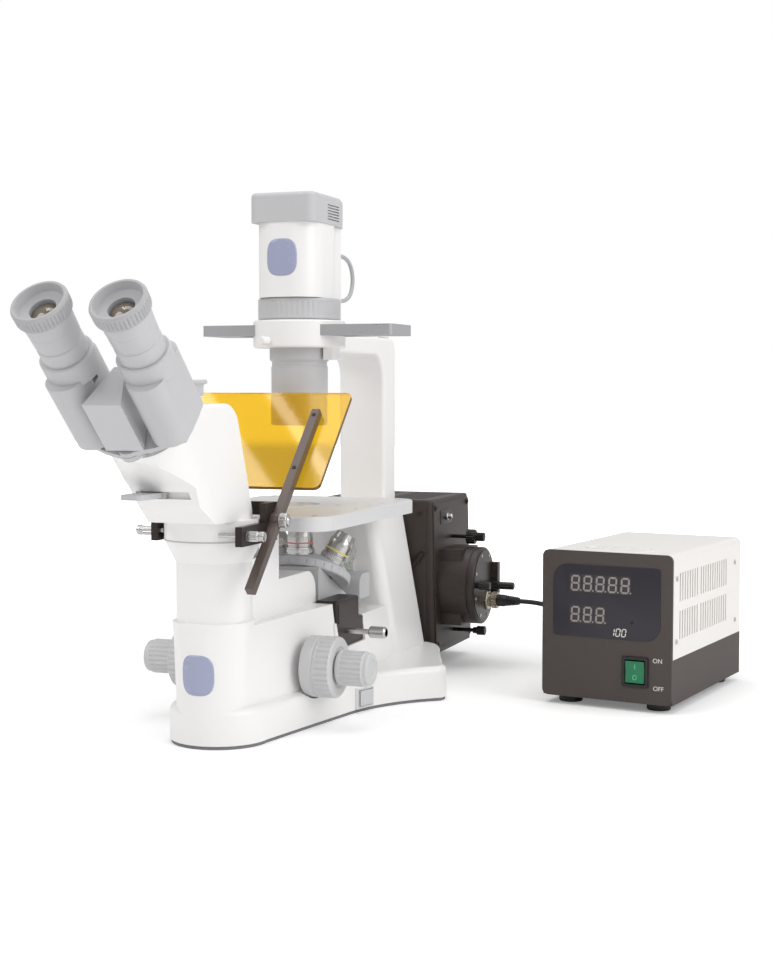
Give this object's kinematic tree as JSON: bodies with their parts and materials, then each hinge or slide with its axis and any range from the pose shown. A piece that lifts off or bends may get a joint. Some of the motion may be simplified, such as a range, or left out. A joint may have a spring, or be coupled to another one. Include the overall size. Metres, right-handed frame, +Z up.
{
  "type": "inverted fluorescence microscope",
  "caption": "Inverted microscope with tilted binocular head, focus drive, turning nosepiece, condenser arm, arc lamp house, amber shield and a corded power supply",
  "frame": {"origin": "On the bench, straight below the optical axis of the objective in use", "axes": "+X to the user's right, +Y away from the user to the rear, +Z up from the bench"},
  "size_m": [0.5003, 0.8476, 0.476],
  "materials": {
    "alloy": "satin",
    "amber": "clear amber sheet",
    "black_paint": "satin black",
    "black_plastic": "matt black",
    "brass": "satin",
    "bright": "polished",
    "bulb": "clear quartz",
    "cord": "matt jacket",
    "cord_grey": "matt grey jacket",
    "dark_paint": "dark brown-grey fine texture",
    "green_plastic": "glossy green",
    "grey_plastic": "matt grey",
    "mirror": "front surface mirror",
    "pale_paint": "pale grey satin enamel",
    "panel": "matt dark panel",
    "rubber_black": "matt rubber",
    "rubber_grey": "matt grey rubber",
    "stage_black": "pale anodised grey",
    "steel": "brushed",
    "white_paint": "pale satin enamel"
  },
  "bodies": {
    "stand": {"base_rim": "rubber_black", "bottom_plate": "steel", "base_casting": "white_paint", "fold_mirrors": "mirror", "pillar_arm": "white_paint", "stage_plate": "stage_black", "guide_rail": "steel", "condenser_carriage": "pale_paint", "condenser_tube": "pale_paint", "lamp_tower": "white_paint", "lamp_cap": "pale_paint", "halogen_lamp": "bulb", "filter_block": "dark_paint", "illuminator_tube": "dark_paint", "lamp_house": "dark_paint", "arc_burner": "bulb", "socket_housing": "dark_paint", "cord_plugs": "brass", "strain_relief": "rubber_black", "lamp_cord": "cord", "supply_cord": "cord", "cord_coil": "cord", "lamp_lead": "cord_grey", "head_body": "white_paint", "shield_yoke": "black_paint", "supply_chassis": "dark_paint", "supply_cover": "white_paint", "supply_panel": "panel"},
    "coarse": {"coarse_sleeve": "steel", "coarse_knobs": "grey_plastic"},
    "fine": {"fine_knobs": "grey_plastic", "fine_spindle": "steel"},
    "nosepiece": {"nosepiece_carriage": "pale_paint", "focus_rack": "steel"},
    "revolver": {"turret": "grey_plastic", "objectives": "bright"},
    "insert": {"stage_insert": "alloy"},
    "slider": {"phase_slider": "alloy"},
    "ring": {"field_ring": "grey_plastic"},
    "filters": {"filter_slide": "bright"},
    "left_eye": {"left_wing": "grey_plastic", "left_eyepiece": "grey_plastic", "left_eyecup": "rubber_grey"},
    "right_eye": {"right_wing": "grey_plastic", "right_eyepiece": "grey_plastic", "right_eyecup": "rubber_grey"},
    "path_lever": {"light_path_lever": "grey_plastic"},
    "cap": {"port_cap": "pale_paint"},
    "shield": {"shield_rod": "black_paint", "amber_shield": "amber"},
    "shield_clamp": {"shield_knob": "bright"},
    "right_screw": {"right_thumbscrew": "bright"},
    "left_screw": {"left_thumbscrew": "bright"},
    "collector": {"collector_knob": "black_plastic"},
    "centring_top": {"top_knob": "black_plastic"},
    "centring_long": {"long_knob": "black_plastic"},
    "centring_short": {"short_knob": "black_plastic"},
    "centring_low": {"low_knob": "black_plastic"},
    "power_rocker": {"supply_rocker": "green_plastic"},
    "stand_rocker": {"base_rocker": "grey_plastic"}
  },
  "joints": [
    {"name": "coarse_focus", "type": "hinge", "parent": "stand", "child": "coarse", "pos_m": [0, -0.095, 0.0535], "axis": [1, 0, 0], "range_deg": [-65.52, 16.41]},
    {"name": "fine_focus", "type": "hinge", "parent": "stand", "child": "fine", "pos_m": [0, -0.095, 0.0535], "axis": [1, 0, 0], "continuous": true},
    {"name": "focus_height", "type": "slide", "parent": "stand", "child": "nosepiece", "axis": [0, 0, 1], "range_m": [-0.008, 0.002]},
    {"name": "turret_turn", "type": "hinge", "parent": "nosepiece", "child": "revolver", "pos_m": [0, 0, 0.081], "axis": [0, 0.4384, 0.8988], "continuous": true},
    {"name": "insert_lift", "type": "slide", "parent": "stand", "child": "insert", "axis": [0, 0, 1], "range_m": [0, 0.02]},
    {"name": "phase_slide", "type": "slide", "parent": "stand", "child": "slider", "axis": [1, 0, 0], "range_m": [-0.04, 0.04]},
    {"name": "field_diaphragm", "type": "hinge", "parent": "stand", "child": "ring", "pos_m": [0, 0, 0.371], "axis": [0, 0, 1], "range_deg": [-45, 45]},
    {"name": "filter_change", "type": "slide", "parent": "stand", "child": "filters", "axis": [1, 0, 0], "range_m": [-0.02, 0]},
    {"name": "right_eye_width", "type": "hinge", "parent": "stand", "child": "right_eye", "pos_m": [0, -0.31728, 0.24841], "axis": [0, -0.7071, 0.7071], "range_deg": [-16.5, 16.3]},
    {"name": "left_eye_width", "type": "hinge", "parent": "stand", "child": "left_eye", "pos_m": [0, -0.31728, 0.24841], "axis": [0, -0.7071, 0.7071], "range_deg": [-16.35, 16.55]},
    {"name": "light_path", "type": "slide", "parent": "stand", "child": "path_lever", "axis": [1, 0, 0], "range_m": [0, 0.02]},
    {"name": "port_cap_lift", "type": "slide", "parent": "stand", "child": "cap", "axis": [0, 0, 1], "range_m": [0, 0.025]},
    {"name": "shield_tilt", "type": "hinge", "parent": "stand", "child": "shield", "pos_m": [0.052, -0.17, 0.188], "axis": [1, 0, 0], "range_deg": [-12, 40]},
    {"name": "shield_clamp_turn", "type": "hinge", "parent": "stand", "child": "shield_clamp", "pos_m": [0.058, -0.17, 0.188], "axis": [1, 0, 0], "range_deg": [-90, 0]},
    {"name": "right_screw_turn", "type": "hinge", "parent": "stand", "child": "right_screw", "pos_m": [0.05, -0.219, 0.179], "axis": [1, 0, 0], "range_deg": [0, 180]},
    {"name": "left_screw_turn", "type": "hinge", "parent": "stand", "child": "left_screw", "pos_m": [-0.05, -0.197, 0.179], "axis": [-1, 0, 0], "range_deg": [0, 180]},
    {"name": "collector_focus", "type": "hinge", "parent": "stand", "child": "collector", "pos_m": [0.0476, 0.196, 0.116], "axis": [0, 1, 0], "range_deg": [-60, 60]},
    {"name": "centring_top_turn", "type": "hinge", "parent": "stand", "child": "centring_top", "pos_m": [0.09, 0.262, 0.137], "axis": [1, 0, 0], "range_deg": [-180, 180]},
    {"name": "centring_long_turn", "type": "hinge", "parent": "stand", "child": "centring_long", "pos_m": [0.12, 0.2716, 0.084], "axis": [1, 0, 0], "range_deg": [-180, 180]},
    {"name": "centring_short_turn", "type": "hinge", "parent": "stand", "child": "centring_short", "pos_m": [0.115, 0.22, 0.0896], "axis": [1, 0, 0], "range_deg": [-180, 180]},
    {"name": "centring_low_turn", "type": "hinge", "parent": "stand", "child": "centring_low", "pos_m": [0.095, 0.262, 0.0355], "axis": [1, 0, 0], "range_deg": [-180, 180]},
    {"name": "supply_switch", "type": "hinge", "parent": "stand", "child": "power_rocker", "pos_m": [0.30776, 0.06435, 0.037], "axis": [0.9871, -0.1599, 0], "range_deg": [-8, 8]},
    {"name": "stand_switch", "type": "hinge", "parent": "stand", "child": "stand_rocker", "pos_m": [0.073, -0.022, 0.0135], "axis": [0, 0, 1], "range_deg": [-8, 8]}
  ],
  "couplings": [
    {"joint": "coarse_focus", "follows": "focus_height", "rad_per_m": 142.86},
    {"joint": "left_eye_width", "follows": "right_eye_width", "ratio": -1}
  ]
}
